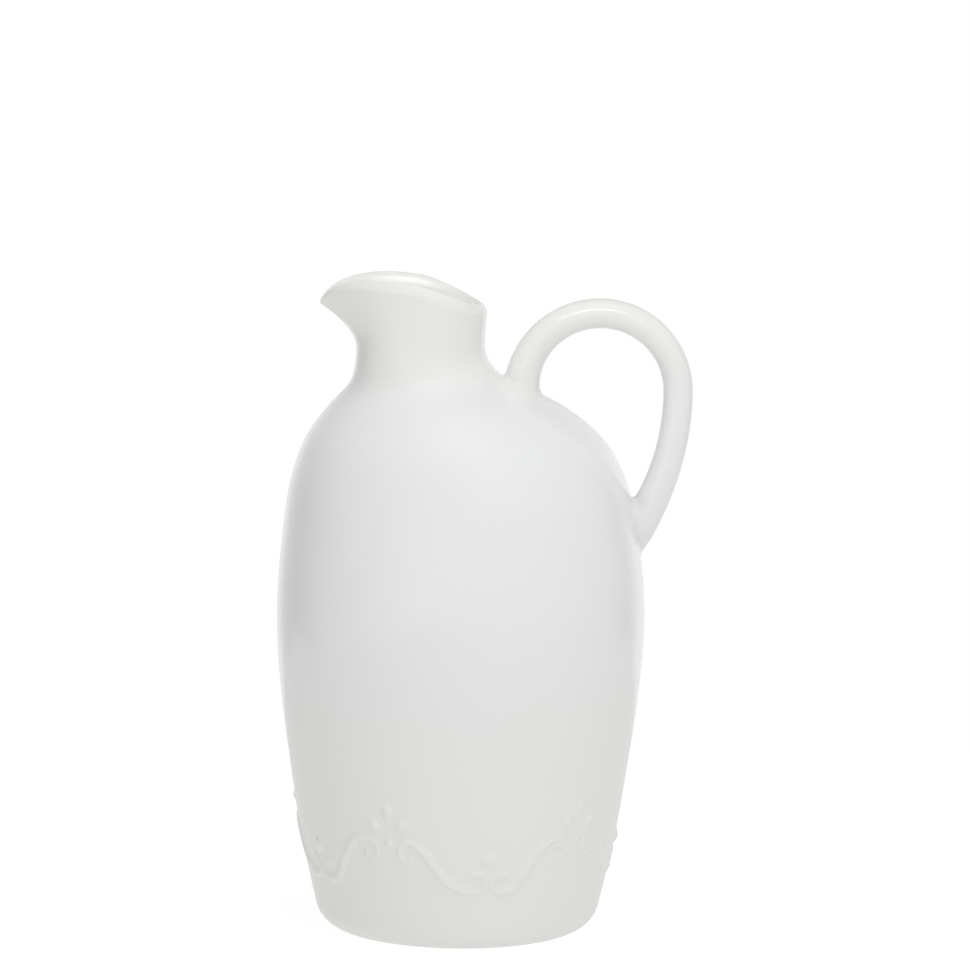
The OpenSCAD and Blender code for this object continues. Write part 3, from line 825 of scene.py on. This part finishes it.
# %% Flat scrolls as they leave the mould
RELIEF = 0.9
VOLUTE_RELIEF = 0.6
RIBBON_HALF = 3.3
VOLUTE_HALF = 2.1
TOP_VOLUTE = 15
LOW_VOLUTE = 10
WIDEN_LENGTH = 8
CREST_LOW = 0.3
RIBBON_RISE = 0.5
RIBBON_STEP = 0.45
RIBBON_POINTS = 21
END_CURVE = 0.98
END_REACH = 0.3
UNDERSIDE = -0.9
UNDER_SHARES = (0.5, 0, -0.5)
SKIRT = -0.012
BELL = 3


def scroll(places):
    """Flat scroll: a ribbon along its path, thin in its volutes, with a crest that hangs low."""
    path = smooth_path(places, RIBBON_STEP)
    along = np.gradient(path, axis=0)
    along /= np.linalg.norm(along, axis=1)[:, None]
    aside = np.column_stack([-along[:, 1], along[:, 0]])
    s = np.arange(len(path)) * RIBBON_STEP
    to_end = np.minimum(s, s[-1] - s)
    past_volutes = np.minimum(s - TOP_VOLUTE, s[-1] - s - LOW_VOLUTE)
    widened = np.clip(past_volutes / WIDEN_LENGTH, 0, 1)
    half = VOLUTE_HALF + (RIBBON_HALF - VOLUTE_HALF) * widened**2 * (3 - 2 * widened)
    cap = np.sqrt(1 - np.clip(1 - to_end / VOLUTE_HALF, 0, END_CURVE) ** 2)
    u = np.linspace(-1, 1, RIBBON_POINTS)
    rows = []
    peak = RELIEF * cap * (VOLUTE_RELIEF + (1 - VOLUTE_RELIEF) * widened)
    for middle, side, reach, top, broad in zip(path, aside, half * cap, peak, widened):
        crest = -CREST_LOW * side[1]
        k = crest + u * (1 - np.sign(u) * crest)
        height = (1 - u**2) ** BELL * (top - SKIRT) + SKIRT
        width = (np.r_[k, UNDER_SHARES] + RIBBON_RISE * broad * side[1]) * reach
        out = np.r_[height, np.full(len(UNDER_SHARES), UNDERSIDE)]
        rows.append(np.column_stack([middle + width[:, None] * side, out]))
    first = np.r_[path[0] - along[0] * END_REACH, SKIRT]
    last = np.r_[path[-1] + along[-1] * END_REACH, SKIRT]
    return closed_loft(rows, first, last)


left_scroll = scroll(LEFT_SCROLL)
right_scroll = scroll(RIGHT_SCROLL)
print("points of the flat scrolls:", len(left_scroll[0]), len(right_scroll[0]))

# %% The flat fleur and pearl
FLEUR_RISE = 25
PEARL_RISE = 14
BEAD_SIDES = 40
BEAD_ROWS = 14
BEAD_UNDER = 0.7
UPRIGHT = dict(across=0, up=7.2, direction=90, half_l=5, half_w=3.1, taper=0.15)
LEFT_PETAL = dict(across=-5.6, up=1.9, direction=137, half_l=4.6, half_w=3.1, taper=0.15)
RIGHT_PETAL = dict(across=5.6, up=1.9, direction=43, half_l=4.6, half_w=3.1, taper=0.15)
BERRY = dict(across=0.1, up=-5.2, direction=90, half_l=3, half_w=2.8, relief=RELIEF * 0.8)
PEARL = dict(across=0.4, up=0, direction=90, half_l=4.8, half_w=4.8, relief=RELIEF * 1.35)


def bead(rise, across, up, direction, half_l, half_w, taper=0, relief=RELIEF):
    """Flat bead: a soft dome on an oval, narrower toward one end by its taper."""
    centre = (across, rise + up)
    a = np.radians(np.arange(BEAD_SIDES) * 360 / BEAD_SIDES)
    forward = np.array([math.cos(math.radians(direction)), math.sin(math.radians(direction))])
    aside = np.array([-forward[1], forward[0]])
    length = np.cos(a) * half_l
    width = np.sin(a) * half_w * (1 + taper * np.cos(a))
    outline = length[:, None] * forward + width[:, None] * aside
    rows = []
    for rho in np.linspace(0, 1, BEAD_ROWS + 1)[1:]:
        height = (1 - rho**2) ** BELL * (relief - SKIRT) + SKIRT
        rows.append(np.column_stack([centre + outline * rho, np.full(BEAD_SIDES, height)]))
    rows.append(np.column_stack([centre + outline * BEAD_UNDER, np.full(BEAD_SIDES, UNDERSIDE)]))
    top = (*centre, relief)
    bottom = (*centre, UNDERSIDE)
    return closed_loft(rows, top, bottom)


def together(*parts):
    """Several flat parts as the points and faces of one sprig."""
    points = np.vstack([part[0] for part in parts])
    faces = []
    start = 0
    for part in parts:
        faces += [tuple(start + c for c in face) for face in part[1]]
        start += len(part[0])
    return points, faces


fleur = together(*[bead(FLEUR_RISE, **shape) for shape in (UPRIGHT, LEFT_PETAL, RIGHT_PETAL, BERRY)])
pearl = bead(PEARL_RISE, **PEARL)
print("points of the flat fleur and pearl:", len(fleur[0]), len(pearl[0]))

# %% [markdown]
# ## Pressing the sprigs on
#
# Each sprig lies on a wall that curves round and slopes out. A Geometry Nodes tree presses it on: it
# sends a ray from outside to the axis for every point, takes the wall's own point and normal there, and
# moves the sprig's point out by its height. The turn round the ewer is an input, so one flat sprig serves
# all five places. A Shrinkwrap modifier could do it too, but it has no turn and would flatten the relief.

# %% The pressing tree
RAY_LENGTH = 0.2


def pressing_tree():
    """The tree that bends a flat sprig round the axis and lays it on the wall along the wall's normals."""
    inputs = {"Sprig": "Geometry", "Wall": "Object", "Glaze": "Material"}
    inputs |= {"Turn": "Float", "Band radius": "Float", "Band height": "Float"}
    tree, sockets, given = geometry_tree("press_on_the_wall", inputs, "Pressed")
    place = add_node(tree, "GeometryNodeInputPosition")
    flat = add_node(tree, "ShaderNodeSeparateXYZ", links={"Vector": place}).outputs
    around = add_node(
        tree, "ShaderNodeMath", {"operation": "DIVIDE"}, links={0: flat["X"], 1: given["Band radius"]}
    )
    angle = add_node(tree, "ShaderNodeMath", {"operation": "ADD"}, links={0: around, 1: given["Turn"]})
    sine = add_node(tree, "ShaderNodeMath", {"operation": "SINE"}, links={0: angle})
    cosine = add_node(tree, "ShaderNodeMath", {"operation": "COSINE"}, links={0: angle})
    inward_x = add_node(tree, "ShaderNodeMath", {"operation": "MULTIPLY"}, {1: -1}, {0: sine})
    inward = add_node(tree, "ShaderNodeCombineXYZ", links={"X": inward_x, "Y": cosine})
    height = add_node(
        tree, "ShaderNodeMath", {"operation": "ADD"}, links={0: flat["Y"], 1: given["Band height"]}
    )
    on_axis = add_node(tree, "ShaderNodeCombineXYZ", links={"Z": height})
    outside = {1: [-RAY_LENGTH] * 3}
    ends = {0: inward, 2: on_axis}
    start = add_node(tree, "ShaderNodeVectorMath", {"operation": "MULTIPLY_ADD"}, outside, ends)
    wall = add_node(tree, "GeometryNodeObjectInfo", links={"Object": given["Wall"]})
    normal = add_node(tree, "GeometryNodeInputNormal")
    on_points = {"domain": "POINT", "data_type": "FLOAT_VECTOR"}
    at_points = add_node(tree, "GeometryNodeFieldOnDomain", on_points, links={0: normal})
    aimed = {
        "Target Geometry": wall.outputs["Geometry"],
        "Attribute": at_points,
        "Source Position": start,
        "Ray Direction": inward,
    }
    smooth = {"data_type": "FLOAT_VECTOR", "mapping": "INTERPOLATED"}
    ray = add_node(tree, "GeometryNodeRaycast", smooth, {"Ray Length": RAY_LENGTH}, aimed)
    raised = {0: ray.outputs["Attribute"], 1: flat["Z"], 2: ray.outputs["Hit Position"]}
    out = add_node(tree, "ShaderNodeVectorMath", {"operation": "MULTIPLY_ADD"}, links=raised)
    pressed = add_node(tree, "GeometryNodeSetPosition", links={"Geometry": given["Sprig"], "Position": out})
    finished_output(tree, pressed, given["Glaze"])
    return tree, sockets


press, press_sockets = pressing_tree()
print("inputs of the pressing tree:", list(press_sockets))

# %% The twenty sprigs on the wall
# Each flat sprig with its place in the repeat, in steps on from the first fleur
flat_sprigs = {
    "fleur": (fleur, 0),
    "pearl": (pearl, 0.5),
    "left_scroll": (left_scroll, 0),
    "right_scroll": (right_scroll, 1),
}
for name, (sprig, steps_on) in flat_sprigs.items():
    flat_mesh = new_mesh("flat_" + name, *sprig)
    for i in range(REPEATS):
        inputs = {"Wall": vessel, "Glaze": glaze, "Band radius": band_r * MM, "Band height": BAND_Z * MM}
        inputs["Turn"] = math.radians(BAND_TURN + pitch * (i + steps_on))
        node = f"{name}_{i + 1}"
        pressed_mesh = plain_mesh(flat_mesh, press, press_sockets, inputs, "pressed_" + node)
        add_piece(pressed_mesh, "pressed_" + node, node)
    bpy.data.meshes.remove(flat_mesh)
    print(name, "pressed on", REPEATS, "times,", len(pressed_mesh.polygons), "faces each")

# %% [markdown]
# ## The studio
#
# The ewer stood in a white studio, and its glaze mirrors the room. The walls are brightest in front of
# it, a little to the left, and a darker card stands at each side, a little behind it, which draws its
# edges. So the room's brightness is a colour ramp over the compass direction, and it falls off to a
# darker ceiling. A picture of a room could light the ewer too, but the ramp says plainly where each wall
# is. The camera sees plain white in place of the walls, as in the photograph, and so would a ray through
# glass. The table top is pale and glows a little, which keeps the heel bright and the shadow faint.

# %% White studio walls and ceiling
# Brightness of the walls by compass direction in degrees: 0 is the front and 90 the right
WALLS = {
    -180: 0.6, -157: 0.75, -125: 0.12, -108: 0.2, -96: 0.44, -25: 1,
    25: 0.66, 104: 0.48, 112: 0.39, 126: 0.26, 147: 0.78, 180: 0.6,
}
CEILING = 0.28
CEILING_FROM = 0
CEILING_FULL = 0.5

world = bpy.data.worlds.new("white_studio")
scene.world = world
world.use_nodes = True
tree = world.node_tree
tree.nodes.clear()
direction = add_node(tree, "ShaderNodeTexCoord").outputs["Generated"]
part = add_node(tree, "ShaderNodeSeparateXYZ", links={"Vector": direction}).outputs
toward_front = add_node(tree, "ShaderNodeMath", {"operation": "MULTIPLY"}, {1: -1}, {0: part["Y"]})
compass = add_node(tree, "ShaderNodeMath", {"operation": "ARCTAN2"}, links={0: part["X"], 1: toward_front})
full_turn = {"From Min": -math.pi, "From Max": math.pi}
turn_share = add_node(tree, "ShaderNodeMapRange", values=full_turn, links={"Value": compass})
walls = add_node(tree, "ShaderNodeValToRGB", links={"Fac": turn_share})
marks = walls.color_ramp.elements
for mark, degrees in zip(marks, (-180, 180)):
    mark.position = (degrees + 180) / 360
    mark.color = [WALLS[degrees]] * 3 + [1]
for degrees, strength in list(WALLS.items())[1:-1]:
    marks.new((degrees + 180) / 360).color = [strength] * 3 + [1]
heights = {"From Min": CEILING_FROM, "From Max": CEILING_FULL}
height_share = add_node(tree, "ShaderNodeMapRange", values=heights, links={"Value": part["Z"]})
upward = {0: height_share, MIX_FIRST: walls}
room = add_node(tree, "ShaderNodeMix", {"data_type": "RGBA"}, {MIX_SECOND: [CEILING] * 3 + [1]}, upward)
print("directions of the studio walls:", len(WALLS))

# %% Plain white for the camera, the room for light and reflections
STUDIO_LIGHT = 1.5


def one_of_rays(tree, *kinds):
    """One for rays of any of these kinds, and zero for the others."""
    rays = add_node(tree, "ShaderNodeLightPath").outputs
    either = rays[kinds[0]]
    for kind in kinds[1:]:
        either = add_node(tree, "ShaderNodeMath", {"operation": "MAXIMUM"}, links={0: either, 1: rays[kind]})
    return either


lit = {"Color": room.outputs[MIX_RESULT]}
studio = add_node(tree, "ShaderNodeBackground", values={"Strength": STUDIO_LIGHT}, links=lit)
white = add_node(tree, "ShaderNodeBackground", values={"Color": (1, 1, 1, 1), "Strength": 1})
sees_white = one_of_rays(tree, "Is Camera Ray", "Is Transmission Ray")
surroundings = add_node(tree, "ShaderNodeMixShader", links={0: sees_white, 1: studio, 2: white})
add_node(tree, "ShaderNodeOutputWorld", links={"Surface": surroundings})
print("world:", world.name)

# %% Pale floor with a faint shadow
FLOOR_HALF = 0.65
FLOOR_BACK = 0.4
FLOOR_FRONT = -2.4
FLOOR_PAINT = "#8a8a89"
FLOOR_GLOW = 0.63
FLOOR_OWN_WHITE = 0.22


def pale_floor():
    """The table top: matt grey paint that also glows, a little more for the camera."""
    material, tree = new_material("pale_studio_floor")
    seen = {"Value": one_of_rays(tree, "Is Camera Ray")}
    glows = {"To Min": FLOOR_GLOW, "To Max": FLOOR_GLOW + FLOOR_OWN_WHITE}
    own = add_node(tree, "ShaderNodeMapRange", values=glows, links=seen)
    glow = add_node(tree, "ShaderNodeEmission", links={"Strength": own})
    paint = add_node(tree, "ShaderNodeBsdfDiffuse", values={"Color": to_linear(FLOOR_PAINT)})
    both = add_node(tree, "ShaderNodeAddShader", links={0: glow, 1: paint})
    add_node(tree, "ShaderNodeOutputMaterial", links={"Surface": both})
    return material


floor_mesh = bpy.data.meshes.new("floor")
floor_edges = ((-1, FLOOR_FRONT), (1, FLOOR_FRONT), (1, FLOOR_BACK), (-1, FLOOR_BACK))
floor_mesh.from_pydata([(FLOOR_HALF * side, y, 0) for side, y in floor_edges], [], [(0, 1, 2, 3)])
floor_mesh.materials.append(pale_floor())
floor = bpy.data.objects.new("floor", floor_mesh)
scene.collection.objects.link(floor)
print("floor from y", FLOOR_FRONT, "to", FLOOR_BACK)

# %% [markdown]
# ## The lamps
#
# The room alone gives an even light. Two large lamps shape the ewer, one in front on the right and one
# above it. Brighter walls could do that too, but the glaze would mirror them, so these lamps are left out
# of its reflections. Small lamps stand for the light that finds its way to single places: one in the
# neck, one over the mouth that leaves a glint on the back of the lip, and two that light the handle
# alone, by light linking. The lamp of the glint and the handle's strip lamp show only as reflections, the
# other two only as soft light.

# %% Soft lamps
KEY_PLACE = (0.9, -1.5, 1.5)
TOP_PLACE = (0.1, -0.3, 2)


def add_lamp(name, place, target, hidden_from, kind="AREA", **settings):
    """A lamp at its place, turned to its target, that the camera and one kind of ray don't see."""
    light = bpy.data.lights.new(name, kind)
    for setting, value in settings.items():
        setattr(light, setting, value)
    lamp = bpy.data.objects.new(name, light)
    lamp.location = place
    lamp.rotation_euler = (Vector(target) - Vector(place)).to_track_quat("-Z", "Y").to_euler()
    lamp.visible_camera = False
    setattr(lamp, hidden_from, False)
    scene.collection.objects.link(lamp)
    print(name, round(light.energy, 4), "W")
    return lamp


add_lamp("key_lamp", KEY_PLACE, AIM, "visible_glossy", size=1.4, energy=10)
add_lamp("top_lamp", TOP_PLACE, AIM, "visible_glossy", size=1, energy=12)

# %% Small lamps for the mouth
MOUTH_MIDDLE = (-0.015, 0, 0.236)
GLINT_PLACE = (-0.0195, 0.0055, 0.2655)
GLINT_TARGET = (-0.0263, 0.0243, 0.2565)
GLINT = dict(shape="DISK", size=0.017, spread=math.radians(100), energy=0.001)
add_lamp("mouth_lamp", MOUTH_MIDDLE, AIM, "visible_glossy", "POINT", shadow_soft_size=0.008, energy=0.008)
add_lamp("mouth_glint", GLINT_PLACE, GLINT_TARGET, "visible_diffuse", **GLINT)

# %% Lamps that light only the handle
HANDLE_MIDDLE = Vector((0.07, 0, 0.22))
STRIP_PLACE = HANDLE_MIDDLE + Vector((-0.08, -1.12, 0.98))
STRIP = dict(shape="ELLIPSE", size=1.1, size_y=0.3, energy=4.2)
FILL_PLACE = HANDLE_MIDDLE + Vector((-1, -0.12, 0))
handle_only = bpy.data.collections.new("handle_only")
handle_only.objects.link(handle)
strip_lamp = add_lamp("strip_lamp", STRIP_PLACE, HANDLE_MIDDLE, "visible_diffuse", **STRIP)
strip_lamp.light_linking.receiver_collection = handle_only
handle_fill = add_lamp("handle_fill", FILL_PLACE, HANDLE_MIDDLE, "visible_glossy", size=0.6, energy=1.4)
handle_fill.light_linking.receiver_collection = handle_only
handle_fill.light_linking.blocker_collection = handle_only

# %% Finish: the plain view transform
scene.view_settings.view_transform = "Standard"
